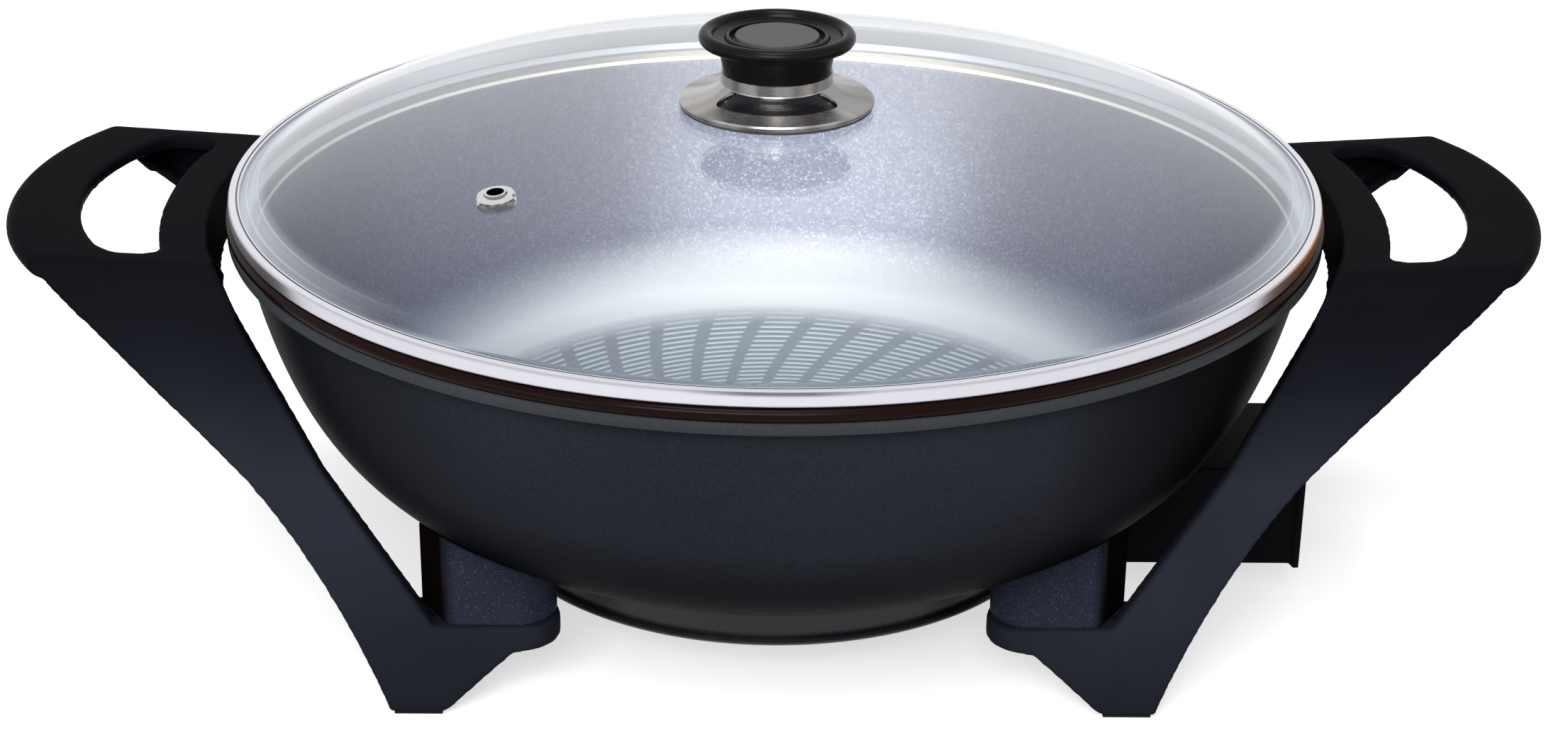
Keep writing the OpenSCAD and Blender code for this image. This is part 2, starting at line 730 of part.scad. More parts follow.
module bracket_screws() color(steel) {
    head_z = arm_bottom + 0.5;
    for (right = [0, 1], rear = [0, 1])
        at_corner(right, rear) translate([-arm_mid_x, -spacer_mid_y, head_z]) {
            difference() {
                cylinder(r = bracket_head_r, h = bracket_head_h);
                translate([0, 0, -1]) cylinder(r = bracket_screw_r, h = 2.6, $fn = 6);
            }
            cylinder(r = bracket_screw_r, h = arm_z - head_z + bracket_screw_up - 1);
        }
}

// The rubber block under the left front foot, grown sideways by d
module pad_block(d, top) {
    pad_y = arch_half(foot_in_x, foot_bottom, 0) - pad_margin - 0.5;
    pad_l = foot_d - 2 * pad_margin - 1;
    translate([-foot_x + pad_margin - d, -pad_y - d, 0])
        cube([foot_w - 2 * pad_margin + 2 * d, pad_l + 2 * d, top]);
}

module foot_pad() color([0.05, 0.05, 0.05]) pad_block(0, pad_t - 0.1);

module lid_glass() color([0.85, 0.92, 0.95, 0.35]) {
    difference() {
        lathe(concat(curve(dome_curve, dome_steps), [[glass_edge_r, glass_edge_top],
            [glass_edge_r, glass_edge_z], [dome_edge_r - 1.8, glass_edge_z]],
            reversed(curve_side(dome_curve, dome_steps, glass_t, true))));
        translate([0, 0, glass_under - 2]) cylinder(r = glass_hole_r, h = glass_t + 4);
        at_vent() translate([0, 0, -glass_t - 2]) cylinder(r = vent_tube_r + vent_bush_gap, h = glass_t + 4);
    }
}

module lid_band() color(steel) {
    top = lid_z + band_h;
    lathe([[hem_r, lid_z - hem_h], [hem_r + band_t, lid_z - hem_h], [hem_r + band_t, lid_z],
        [band_r - 0.6, lid_z], [band_r, lid_z + 0.6], [band_r, top - 0.6], [band_r - 0.6, top],
        [band_r - band_lip, top], [band_r - band_lip, top - band_t], [band_r - band_t, top - band_t],
        [band_r - band_t, lid_z + band_t], [hem_r, lid_z + band_t]]);
}

module lid_liner() color([0.8, 0.8, 0.8]) {
    side_r = band_r - band_t;
    low = lid_z + band_t;
    lathe([[hem_r + 1, low], [side_r, low], [side_r, glass_edge_top], [glass_edge_r, glass_edge_top],
        [glass_edge_r, glass_edge_z], [hem_r + 1, glass_edge_z]]);
}

module at_vent() {
    rotate(vent_angle) translate([vent_r, 0, vent_z]) rotate([0, vent_tilt, 0]) children();
}

module vent_eyelet() color(steel) at_vent() {
    difference() {
        union() {
            translate([0, 0, 0.1]) cylinder(r1 = vent_flange_r, r2 = vent_flange_r - 0.5, h = vent_flange_t);
            translate([0, 0, 0.1]) cylinder(r1 = vent_tube_r + 1, r2 = vent_tube_r, h = vent_flange_t + 0.7);
            translate([0, 0, -glass_t - 1.4]) cylinder(r = vent_tube_r, h = glass_t + 2);
        }
        translate([0, 0, -glass_t - 3]) cylinder(r = vent_hole_r, h = glass_t + 8);
    }
}

module vent_ring() color(steel) at_vent() {
    translate([0, 0, -glass_t - 1.3]) difference() {
        cylinder(r = vent_flange_r, h = 1.2);
        translate([0, 0, -1]) cylinder(r = vent_tube_r + slide_gap, h = 4);
    }
}

module knob_cap() color([0.06, 0.06, 0.06]) {
    bead_x = knob_r - knob_bead_r;
    step_r = insert_r + groove_w;
    lathe(concat(
        [[spigot_r + slide_gap, neck_z0], [neck_low_r, neck_z0], [neck_low_r + 0.3, neck_z0 + 1],
            [neck_top_r - 0.8, cap_z - 2.5], [neck_top_r, cap_z], [bead_x, cap_z - 0.1]],
        arc([bead_x, knob_bead_z], knob_bead_r, -80, 110, 12),
        [[bead_x - 2.2, cap_z + 2.6], [step_r + step_w + 0.3, cap_z + 2.2], [step_r + step_w, disc_top - 0.2],
            [step_r, disc_top - 0.1], [step_r - 0.3, disc_top - disc_t], [0, disc_top - disc_t],
            [0, neck_z0 + spigot_h + 0.2], [spigot_r + slide_gap, neck_z0 + spigot_h + 0.2]]));
}

module knob_disc() color([0.2, 0.2, 0.21]) {
    lathe([[0, disc_top - disc_t], [insert_r, disc_top - disc_t], [insert_r, disc_top - 0.3],
        [insert_r - 0.3, disc_top], [0, disc_top]]);
}

function collar_curve() = [[brim_r - 0.7, knob_z + 2.1], [brim_r - 7, knob_z + 3.2],
    [collar_neck_r + 1.5, knob_z + 4.2], [collar_neck_r, knob_z + window_top + 0.4]];

module knob_collar() color(steel) {
    difference() {
        lathe(concat([[brim_r - 0.4, knob_z], [brim_r, knob_z + 0.5], [brim_r, knob_z + brim_edge_h]],
            curve(collar_curve(), 12), [[collar_neck_r, neck_z0], [collar_neck_r - collar_t, neck_z0]],
            reversed(curve_side(collar_curve(), 12, collar_t, false)), [[brim_r - 1.2, knob_z]]));
        translate([0, 0, knob_z + 1]) {
            rotate(-90 - window_angle / 2)
                rotate_extrude(angle = window_angle) square([window_r, window_top - 1]);
            for (a = [-window_angle / 2, window_angle / 2])
                rotate(-90 + a) translate([window_r - window_end_r, 0, 0])
                    cylinder(r = window_end_r, h = window_top - 1);
        }
    }
}

module knob_stem() color([0.06, 0.06, 0.06]) {
    difference() {
        union() {
            translate([0, 0, knob_z]) cylinder(r = stem_r, h = collar_h - 0.1);
            translate([0, 0, knob_z]) cylinder(r = spigot_r, h = collar_h + spigot_h);
            intersection() {
                translate([0, 0, knob_z]) cylinder(r = stem_foot_r, h = collar_h);
                lathe(concat([[0, knob_z], [brim_r, knob_z]],
                    curve_side(collar_curve(), 12, collar_t + stem_foot_gap, false),
                    [[stem_r - 2, knob_z + window_top], [0, knob_z + window_top]]));
            }
        }
        translate([0, 0, knob_z - 1]) cylinder(r = knob_screw_r + screw_gap, h = collar_h + spigot_h);
        translate([0, 0, neck_z0 - knob_insert_h]) cylinder(r = knob_insert_r + slide_gap, h = knob_insert_h);
    }
}

module knob_insert() color("goldenrod") {
    translate([0, 0, neck_z0 - knob_insert_h]) difference() {
        cylinder(r = knob_insert_r, h = knob_insert_h - 0.1);
        translate([0, 0, -1]) cylinder(r = knob_screw_r + screw_gap, h = knob_insert_h + 2);
    }
}

module washer(z, r_in, r_out, t) {
    translate([0, 0, z]) difference() {
        cylinder(r = r_out, h = t);
        translate([0, 0, -1]) cylinder(r = r_in, h = t + 2);
    }
}

module knob_gasket() color([0.3, 0.3, 0.3]) washer(dome_z, brim_r - 3.5, brim_r - 0.5, knob_z - dome_z);

module knob_seat_washer() color([0.3, 0.3, 0.3]) washer(dome_z, knob_screw_r + 1, stem_r - 1, knob_z - dome_z);

module knob_lower_washer() color([0.3, 0.3, 0.3]) {
    washer(glass_under - washer_t, knob_screw_r + 0.5, 10.5, washer_t);
}

module knob_plate_washer() color(steel) {
    washer(glass_under - washer_t - plate_washer_t, knob_screw_r + 0.3, 10, plate_washer_t);
}

module knob_screw() color(steel) {
    head_z = glass_under - washer_t - plate_washer_t - knob_head_h;
    translate([0, 0, head_z]) difference() {
        cylinder(r = knob_head_r, h = knob_head_h);
        translate([0, 0, -1]) cylinder(r = knob_screw_r, h = 2.6, $fn = 6);
    }
    translate([0, 0, head_z + knob_head_h]) cylinder(r = knob_screw_r, h = neck_z0 - head_z - knob_head_h);
}

pan();
base_cover();
base_cover_screws();
heating_element();
probe_tube();
terminal_pin(-1);  // terminal_pin_front
terminal_pin(1);  // terminal_pin_rear
terminal_bush(-1);  // terminal_bush_front
terminal_bush(1);  // terminal_bush_rear
probe_shroud();
shroud_screws();
at_corner(0, 0) spacer();  // spacer_front_left
at_corner(1, 0) spacer();  // spacer_front_right
at_corner(0, 1) spacer();  // spacer_rear_left
at_corner(1, 1) spacer();  // spacer_rear_right
handle_leg();  // handle_leg_left
mirror([1, 0, 0]) handle_leg();  // handle_leg_right
bracket_screws();
at_corner(0, 0) foot_pad();  // foot_pad_front_left
at_corner(1, 0) foot_pad();  // foot_pad_front_right
at_corner(0, 1) foot_pad();  // foot_pad_rear_left
at_corner(1, 1) foot_pad();  // foot_pad_rear_right
lid_glass();
lid_band();
lid_liner();
vent_eyelet();
vent_ring();
knob_cap();
knob_disc();
knob_collar();
knob_stem();
knob_insert();
knob_gasket();
knob_seat_washer();
knob_lower_washer();
knob_plate_washer();
knob_screw();
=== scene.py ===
"""Electric wok with a lift-off glass lid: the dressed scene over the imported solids."""
import math

import bmesh
import bpy
from mathutils import Matrix, Vector

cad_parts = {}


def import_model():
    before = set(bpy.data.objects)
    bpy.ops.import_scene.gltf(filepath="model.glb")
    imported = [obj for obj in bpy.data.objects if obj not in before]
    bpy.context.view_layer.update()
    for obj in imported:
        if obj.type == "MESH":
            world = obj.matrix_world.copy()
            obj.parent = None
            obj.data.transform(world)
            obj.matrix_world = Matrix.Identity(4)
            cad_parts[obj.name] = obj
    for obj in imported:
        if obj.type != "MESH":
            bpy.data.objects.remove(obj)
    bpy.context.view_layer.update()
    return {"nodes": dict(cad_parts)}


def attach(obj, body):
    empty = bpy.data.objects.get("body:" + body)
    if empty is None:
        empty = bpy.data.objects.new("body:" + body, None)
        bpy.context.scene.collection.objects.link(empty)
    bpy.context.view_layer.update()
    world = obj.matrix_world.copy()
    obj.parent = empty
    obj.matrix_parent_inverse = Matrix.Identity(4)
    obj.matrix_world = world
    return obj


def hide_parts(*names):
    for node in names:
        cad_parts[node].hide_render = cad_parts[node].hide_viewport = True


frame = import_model()
nodes = frame["nodes"]
MM = 0.001
SHARP = math.radians(38)


def placed(name, data):
    """A new object with this data, put in the scene."""
    ob = bpy.data.objects.new(name, data)
    bpy.context.scene.collection.objects.link(ob)
    return ob


def mesh_of(bm, name):
    me = bpy.data.meshes.new(name)
    bm.to_mesh(me)
    bm.free()
    return me


# ---------------------------------------------------------------- camera, fitted to the photograph

YAW = math.radians(0.7)
PITCH = math.radians(23.837)
ROLL = math.radians(0.667)
SENSOR_MM = 36.0
LENS_MM = 65.13
CAMERA_MM = (3.77, -967.2, 507.7)


def set_camera():
    data = bpy.data.cameras.new("camera")
    data.sensor_width = SENSOR_MM
    data.sensor_fit = "HORIZONTAL"
    data.lens = LENS_MM
    data.clip_start = 0.05
    data.clip_end = 20
    cam = placed("camera", data)
    right = Vector((1, 0, 0))
    up = Vector((0, math.sin(PITCH), math.cos(PITCH)))
    back = Vector((0, -math.cos(PITCH), math.sin(PITCH)))
    x = right * math.cos(ROLL) + up * math.sin(ROLL)
    y = up * math.cos(ROLL) - right * math.sin(ROLL)
    m = Matrix((x, y, back)).transposed().to_4x4()
    m.translation = Vector(CAMERA_MM) * MM
    cam.matrix_world = Matrix.Rotation(-YAW, 4, "Z") @ m
    bpy.context.scene.camera = cam


set_camera()

# ---------------------------------------------------------------- profiles, in mm


def cubic(c, t):
    """The point at t on the cubic c."""
    shares = ((1 - t) ** 3, 3 * (1 - t) ** 2 * t, 3 * (1 - t) * t * t, t ** 3)
    return tuple(sum(s * p[k] for s, p in zip(shares, c)) for k in (0, 1))


def direction(c, t):
    """The unit direction at t on the cubic c."""
    shares = (3 * (1 - t) ** 2, 6 * (1 - t) * t, 3 * t * t)
    d = [sum(s * (q[k] - p[k]) for s, p, q in zip(shares, c, c[1:])) for k in (0, 1)]
    n = math.hypot(*d)
    return d[0] / n, d[1] / n


def curve(c, n, off=0.0):
    """Points along the cubic c, moved off to its left."""
    out = []
    for i in range(n + 1):
        r, z = cubic(c, i / n)
        dr, dz = direction(c, i / n)
        out.append((r - dz * off, z + dr * off))
    return out


def arc(cx, cz, r, start, end, n):
    angles = [math.radians(start + (end - start) * i / n) for i in range(n + 1)]
    return [(cx + r * math.cos(a), cz + r * math.sin(a)) for a in angles]


def ring_of(bm, r, z, segs):
    """The points of one ring round the Z axis, or its one point on the axis."""
    if r < 1e-6:
        return [bm.verts.new((0, 0, z * MM))]
    angles = [2 * math.pi * k / segs for k in range(segs)]
    return [bm.verts.new((r * MM * math.cos(a), r * MM * math.sin(a), z * MM)) for a in angles]


def lathe(name, points, mats, body, which=None, segs=256, replaces=()):
    """A solid of revolution through a closed outline; which(i) picks the material of edge i."""
    bm = bmesh.new()
    rings = [ring_of(bm, r, z, segs) for r, z in points]
    for i, a in enumerate(rings):
        b = rings[(i + 1) % len(rings)]
        if len(a) == 1 and len(b) == 1:
            continue
        for k in range(segs):
            k2 = (k + 1) % segs
            if len(a) == 1:
                f = bm.faces.new((a[0], b[k], b[k2]))
            elif len(b) == 1:
                f = bm.faces.new((a[k], b[0], a[k2]))
            else:
                f = bm.faces.new((a[k], b[k], b[k2], a[k2]))
            f.material_index = which(i) if which else 0
    bmesh.ops.recalc_face_normals(bm, faces=bm.faces)
    me = mesh_of(bm, name)
    for m in mats:
        me.materials.append(m)
    me.shade_smooth()
    me.set_sharp_from_angle(angle=SHARP)
    ob = placed(name, me)
    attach(ob, body)
    if replaces:
        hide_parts(*replaces)
    return ob


# ---------------------------------------------------------------- materials: radii and heights in metres

BLACK = (0, 0, 0)
# How far the surface turns away where the painted shade at its edges comes in
EDGE_SHADE_FACING = (0.40, 0.95)


def times(color, factor):
    return tuple(min(1, c * factor) for c in color)


class Mat:
    """A node material with a Principled shader and short helpers."""

    def __init__(self, name, color, rough, metal=0.0, **sockets):
        self.m = bpy.data.materials.new(name)
        self.m.use_nodes = True
        self.nt = self.m.node_tree
        self.b = self.nt.nodes["Principled BSDF"]
        self.b.inputs["Base Color"].default_value = (*color, 1)
        self.b.inputs["Roughness"].default_value = rough
        self.b.inputs["Metallic"].default_value = metal
        for k, v in sockets.items():
            self.b.inputs[k.replace("_", " ")].default_value = v
        self.coord = None

    def node(self, kind, **kw):
        n = self.nt.nodes.new(kind)
        for k, v in kw.items():
            setattr(n, k, v)
        return n

    def link(self, a, b):
        self.nt.links.new(a, b)

    def put(self, sock, v):
        """Link a socket, or set a plain value or colour."""
        if isinstance(v, bpy.types.NodeSocket):
            self.link(v, sock)
        elif sock.type == "RGBA":
            sock.default_value = (*v, 1)
        else:
            sock.default_value = v

    # Places on the piece

    def pos(self):
        if self.coord is None:
            self.coord = self.node("ShaderNodeTexCoord").outputs["Object"]
        return self.coord

    def along(self, axis):
        n = self.node("ShaderNodeSeparateXYZ")
        self.link(self.pos(), n.inputs[0])
        return n.outputs[axis]

    def outwards(self):
        """The part of the place that points away from the Z axis."""
        return self.vector("MULTIPLY", self.pos(), (1, 1, 0))

    def radius(self):
        return self.vector("LENGTH", self.outwards())

    def angle(self):
        """Angle about the Z axis, in radians."""
        n = self.node("ShaderNodeSeparateXYZ")
        self.link(self.pos(), n.inputs[0])
        return self.math("ARCTAN2", n.outputs["Y"], n.outputs["X"])

    def facing(self, lo, hi, to0, to1):
        """A factor that runs from to0 to to1 as the surface turns away."""
        n = self.node("ShaderNodeLayerWeight")
        n.inputs["Blend"].default_value = 0.5
        return self.remap(n.outputs["Facing"], lo, hi, to0, to1)

    # Sums

    def math(self, op, a, b=None, c=None):
        n = self.node("ShaderNodeMath", operation=op)
        for sock, v in zip(n.inputs, (a, b, c)):
            if v is not None:
                self.put(sock, v)
        return n.outputs[0]

    def vector(self, op, a, b=None):
        n = self.node("ShaderNodeVectorMath", operation=op)
        self.put(n.inputs[0], a)
        if b is not None:
            self.put(n.inputs["Scale" if op == "SCALE" else 1], b)
        return n.outputs["Value" if op == "LENGTH" else "Vector"]

    def remap(self, v, lo, hi, to0, to1):
        n = self.node("ShaderNodeMapRange")
        self.put(n.inputs["Value"], v)
        for k, x in (("From Min", lo), ("From Max", hi), ("To Min", to0), ("To Max", to1)):
            n.inputs[k].default_value = x
        return n.outputs["Result"]

    def away(self, v, middle):
        """How far v is from the middle."""
        return self.math("ABSOLUTE", self.math("SUBTRACT", v, middle))

    def stripes(self, v, count):
        """0.5 on the lines and 0 half way between them, with count lines to one unit of v."""
        return self.away(self.math("FRACT", self.math("MULTIPLY", v, count)), 0.5)

    def ramp(self, fac, stops):
        n = self.node("ShaderNodeValToRGB")
        el = n.color_ramp.elements
        while len(el) < len(stops):
            el.new(0.5)
        for e, (p, c) in zip(el, stops):
            e.position = p
            e.color = (*c, 1) if isinstance(c, tuple) else (c, c, c, 1)
        self.link(fac, n.inputs["Fac"])
        return n.outputs["Color"]

    def mix(self, fac, a, b):
        """A blend of two colours, through the node's colour sockets: inputs 6 and 7, output 2."""
        n = self.node("ShaderNodeMix", data_type="RGBA")
        self.put(n.inputs[0], fac)
        self.put(n.inputs[6], a)
        self.put(n.inputs[7], b)
        return n.outputs[2]

    # Patterns

    def noise(self, scale, detail=3.0, rough=0.55, vec=None):
        n = self.node("ShaderNodeTexNoise")
        n.inputs["Scale"].default_value = scale
        n.inputs["Detail"].default_value = detail
        n.inputs["Roughness"].default_value = rough
        self.link(vec or self.pos(), n.inputs["Vector"])
        return n.outputs["Fac"]

    def turned_noise(self, tilt, around, scale, detail, rough):
        """Noise in fine rings round the Z axis, as a lathe leaves them."""
        n = self.node("ShaderNodeCombineXYZ")
        self.link(self.math("MULTIPLY_ADD", self.along("Z"), tilt, self.radius()), n.inputs[0])
        self.link(self.math("MULTIPLY", self.angle(), around), n.inputs[1])
        return self.noise(scale, detail, rough, n.outputs[0])

    def cells(self, scale):
        """A random value for each small cell."""
        n = self.node("ShaderNodeTexVoronoi")
        n.inputs["Scale"].default_value = scale
        self.link(self.pos(), n.inputs["Vector"])
        split = self.node("ShaderNodeSeparateColor")
        self.link(n.outputs["Color"], split.inputs[0])
        return split.outputs[0]

    # What the shader gets

    def color(self, sock):
        self.link(sock, self.b.inputs["Base Color"])

    def rough(self, v, lo, hi, to0, to1):
        self.link(self.remap(v, lo, hi, to0, to1), self.b.inputs["Roughness"])

    def bump(self, height, strength, dist, base=None):
        n = self.node("ShaderNodeBump")
        n.inputs["Strength"].default_value = strength
        n.inputs["Distance"].default_value = dist
        self.link(height, n.inputs["Height"])
        if base is not None:
            self.link(base, n.inputs["Normal"])
        self.link(n.outputs["Normal"], self.b.inputs["Normal"])
        return n.outputs["Normal"]

    def shaded(self, sock, stops):
        """Base colour from sock. With stops, as (mm, factor), it gets painted shade: it is scaled by the
        height, and falls off where the surface turns away."""
        if stops:
            tall = stops[-1][0]
            high = self.math("DIVIDE", self.along("Z"), tall * MM)
            # The ramp holds half of each factor, which the facing doubles again
            half = self.ramp(high, [(z / tall, f / 2) for z, f in stops])
            twice = self.facing(*EDGE_SHADE_FACING, 2.0, 0.25)
            sock = self.vector("SCALE", self.vector("MULTIPLY", sock, half), twice)
        self.color(sock)

    def brushed_round(self, amount):
        """Turning marks round the Z axis that draw reflections out across them."""
        n = self.node("ShaderNodeTangent", direction_type="RADIAL", axis="Z")
        self.link(n.outputs[0], self.b.inputs["Tangent"])
        self.b.inputs["Anisotropic Rotation"].default_value = 0.25
        self.put(self.b.inputs["Anisotropic"], amount)


# Where painted shade darkens the two sides of the pan, along X
PAINTED_SHADE_RIGHT = (0.085, 0.135)
PAINTED_SHADE_LEFT = (-0.150, -0.085)


def enamel(name, color, rough, fleck=0.25, spec=0.02, shade=None):
    """Dark satin enamel with a fine, uneven fleck. With shade, it has painted shade: darker and paler zones
    by height, and darker right and left sides as well."""
    m = Mat(name, color, rough, Specular_IOR_Level=spec)
    fine = m.noise(900, 2)
    broad = m.noise(7, 3)
    both = m.math("MULTIPLY_ADD", broad, 0.5, m.math("MULTIPLY", fine, 0.5))
    base = m.ramp(both, [(0.35, times(color, 1 - fleck)), (0.65, times(color, 1 + fleck))])
    if shade:
        # Painted shade: the right and left sides fade towards black
        base = m.mix(m.remap(m.along("X"), *PAINTED_SHADE_RIGHT, 0.0, 0.85), base, BLACK)
        base = m.mix(m.remap(m.along("X"), *PAINTED_SHADE_LEFT, 0.35, 0.0), base, BLACK)
    m.shaded(base, shade)
    m.rough(fine, 0.3, 0.7, rough - 0.05, rough + 0.07)
    m.bump(fine, 0.12, 0.0003)
    return m.m


def moulded(name, color, rough, grain=700, strength=0.2, coat=0.0, spec=0.015, shade=None):
    """Moulded phenolic: fine grain, soft uneven sheen; shade gives painted shade, darker and paler zones by
    height.
    """
    m = Mat(name, color, rough, Coat_Weight=coat, Coat_Roughness=0.12, Specular_IOR_Level=spec)
    fine = m.noise(grain, 4, 0.6)
    broad = m.noise(11, 4)
    m.shaded(m.ramp(broad, [(0.3, times(color, 0.8)), (0.7, times(color, 1.2))]), shade)
    both = m.math("MULTIPLY_ADD", broad, 0.6, m.math("MULTIPLY", fine, 0.4))
    m.rough(both, 0.3, 0.7, rough - 0.06, rough + 0.08)
    m.bump(fine, strength, 0.00025)
    return m.m


# The painted orange reflection at the right front of the band and the painted dark reflection at its front:
# the angle of each about the Z axis, over what angles from there it fades, and the radii or heights over
# which it comes in
WARM_REFLECTION_AT = math.radians(-13)
WARM_REFLECTION_FADE = (math.radians(13), math.radians(24))
WARM_REFLECTION_R = (0.1940, 0.1948)
FRONT = math.radians(-90)
DARK_REFLECTION_FADE = (math.radians(3), math.radians(9))
DARK_REFLECTION_Z = (0.1578, 0.1586)
DARK_REFLECTION = (0.13, 0.12, 0.15)


def polished(name, color, rough, turned=True, strength=0.03, warm=None):
    """Bright steel, turned round the Z axis or plain. With warm, its outer edge has a painted orange
    reflection at the right front and a painted dark reflection at the front."""
    m = Mat(name, color, rough, 1.0)
    if warm:
        # Painted reflections: an orange one at the right front and a dark streak at the front
        warm_reflection = m.math("MULTIPLY", m.remap(m.away(m.angle(), WARM_REFLECTION_AT), *WARM_REFLECTION_FADE, 1.0, 0.0),
                      m.remap(m.radius(), *WARM_REFLECTION_R, 0.0, 1.0))
        dark_mark = m.math("MULTIPLY", m.remap(m.away(m.angle(), FRONT), *DARK_REFLECTION_FADE, 0.8, 0.0),
                      m.remap(m.along("Z"), *DARK_REFLECTION_Z, 0.0, 1.0))
        m.color(m.mix(dark_mark, m.mix(warm_reflection, color, warm), DARK_REFLECTION))
    if turned:
        m.brushed_round(0.85)
        fine = m.turned_noise(1.7, 0.0, 2600, 3, 0.6)
    else:
        fine = m.noise(1400, 3)
    m.rough(fine, 0.25, 0.75, max(0.02, rough - 0.05), rough + 0.07)
    m.bump(fine, strength, 0.0001)
    return m.m


def eyelet(name, color, axis, at, bore):
    """Bright pressed steel round a slanted axis through at, with painted shade in its bore and a dark line
    in its lip.
    """
    m = Mat(name, color, 0.16, 1.0)
    off = m.vector("CROSS_PRODUCT", m.vector("SUBTRACT", m.pos(), at), axis)
    out = m.math("DIVIDE", m.vector("LENGTH", off), 2 * bore)
    dark_mark = times(color, 0.35)
    # Painted shade in the bore, then bright steel with a dark line in its lip
    m.color(m.ramp(out, [(0.0, 0.01), (0.50, 0.015), (0.51, color), (0.60, color), (0.63, dark_mark),
                         (0.67, dark_mark), (0.70, color), (1.0, color)]))
    fine = m.noise(1400, 3)
    m.rough(fine, 0.25, 0.75, 0.12, 0.26)
    m.bump(fine, 0.05, 0.0001)
    return m.m


def satin(name, color, rough):
    """Satin steel with a turned grain round the Z axis, and paler and darker sectors of painted sheen."""
    m = Mat(name, color, rough, 1.0)
    fine = m.turned_noise(1.3, 0.002, 3500, 4, 0.7)
    # Painted sheen: paler and darker sectors round the Z axis
    sectors = m.noise(2.3, 1, 0.5, m.vector("NORMALIZE", m.outwards()))
    base = m.ramp(sectors, [(0.36, times(color, 0.50)), (0.64, times(color, 1.45))])
    m.color(m.mix(m.remap(fine, 0.25, 0.75, 0.30, 0.0), base, (0.05, 0.045, 0.04)))
    m.brushed_round(0.6)
    m.rough(fine, 0.25, 0.75, rough - 0.06, rough + 0.1)
    m.bump(fine, 0.12, 0.0001)
    return m.m


# How far out along X the outer side of a spacer begins, which is painted dark as painted shade
SPACER_SHADE_SIDE = (0.1095, 0.1150)


def speckled(name, color, sparkle, edge):
    """Spacer moulding: blue-black with a fine sparkle, and a plum-brown outer side painted dark as painted
    shade.
    """
    m = Mat(name, color, 0.42, Specular_IOR_Level=0.015)
    pick = m.remap(m.cells(2600), 0.90, 1.0, 0.0, 1.0)
    side = m.remap(m.math("ABSOLUTE", m.along("X")), *SPACER_SHADE_SIDE, 0.0, 1.0)
    base = m.mix(m.noise(60, 3), color, times(color, 1.6))
    # Painted shade: the outer side takes the dark plum-brown edge colour
    m.color(m.mix(side, m.mix(pick, base, sparkle), edge))
    m.link(m.remap(side, 0.0, 1.0, 0.015, 0.0), m.b.inputs["Specular IOR Level"])
    m.bump(m.noise(1200, 3), 0.15, 0.0002)
    return m.m


# The pan's floor has RIDGES to a metre of radius, in FANS round the turn that slant by FAN_SLANT radians to
# the metre. The pairs below are radii, or heights for the lip, over which each zone comes in or goes out.
RIDGES = 370
FANS = 36
FAN_SLANT = 3.9
RIDGED_EDGE = (0.119, 0.1275)
PAINTED_GLOW_START = (0.1195, 0.1295)
PAINTED_GLOW_END = (0.138, 0.160)
TURNED_START = (0.140, 0.158)
LIP_Z = (0.1410, 0.1490)
LIP_START = (0.1420, 0.1424)
FLAKES = [(0.0, (0.074, 0.086, 0.148)), (0.80, (0.096, 0.112, 0.188)), (1.0, (0.145, 0.165, 0.26))]
FLOOR_BLUE = (0.19, 0.235, 0.29)
PAINTED_GLOW = (0.41, 0.46, 0.55)
RIDGE = (0.40, 0.48, 0.54)
LIP_HIGHLIGHT = (0.80, 0.82, 0.86)
LIP_GREY = (0.21, 0.22, 0.25)


def coating():
    """Inside of the pan: metallic blue-grey non-stick with fine flakes, fans of ridges on the floor, a
    painted highlight ring round them and painted highlight lines at the top of the wall.
    """
    m = Mat("pan_coating", (0.095, 0.108, 0.138), 0.38, 0.9, Specular_Tint=(0.50, 0.54, 0.72, 1))
    r = m.radius()
    m.brushed_round(m.remap(r, *TURNED_START, 0.15, 0.80))
    flake = m.ramp(m.cells(1300), FLAKES)
    # Ridges in rings, broken by smooth slanted gaps between the fans
    ridge = m.remap(m.stripes(r, RIDGES), 0.12, 0.28, 1.0, 0.0)
    turn = m.math("MULTIPLY_ADD", r, FAN_SLANT, m.angle())
    fan = m.math("ABSOLUTE", m.math("SINE", m.math("MULTIPLY", turn, FANS / 2)))
    lines = m.math("MULTIPLY", ridge, m.remap(fan, 0.36, 0.52, 0.0, 1.0))
    height = m.math("MULTIPLY", lines, m.remap(r, *RIDGED_EDGE, 1.0, 0.0))
    # Painted highlight: a paler ring round the edge of the ridged floor
    glow = m.math("MULTIPLY", m.remap(r, *PAINTED_GLOW_START, 0.0, 0.8), m.remap(r, *PAINTED_GLOW_END, 1.0, 0.0))
    base = m.mix(m.remap(r, *RIDGED_EDGE, 0.55, 0.0), flake, FLOOR_BLUE)
    base = m.mix(glow, base, PAINTED_GLOW)
    base = m.mix(m.math("MULTIPLY", height, 0.62), base, RIDGE)
    # Painted highlights at the top of the wall: two bright lines with a grey one between
    lip = m.ramp(m.remap(m.along("Z"), *LIP_Z, 0.0, 1.0),
                 [(0.10, LIP_HIGHLIGHT), (0.30, LIP_HIGHLIGHT), (0.35, LIP_GREY), (0.67, LIP_GREY),
                  (0.73, LIP_HIGHLIGHT), (1.0, LIP_HIGHLIGHT)])
    m.color(m.mix(m.remap(m.along("Z"), *LIP_START, 0.0, 1.0), base, lip))
    fine = m.noise(1300, 2)
    m.bump(height, 0.5, 0.0002, m.bump(fine, 0.04, 0.0002))
    m.rough(fine, 0.3, 0.7, 0.50, 0.55)
    return m.m


# Radii between which the edge of the dome comes to look pale, and its faint rings to a metre
STEEP_START = 0.1815
STEEP_FULL = 0.1860
GLASS_RINGS = 260


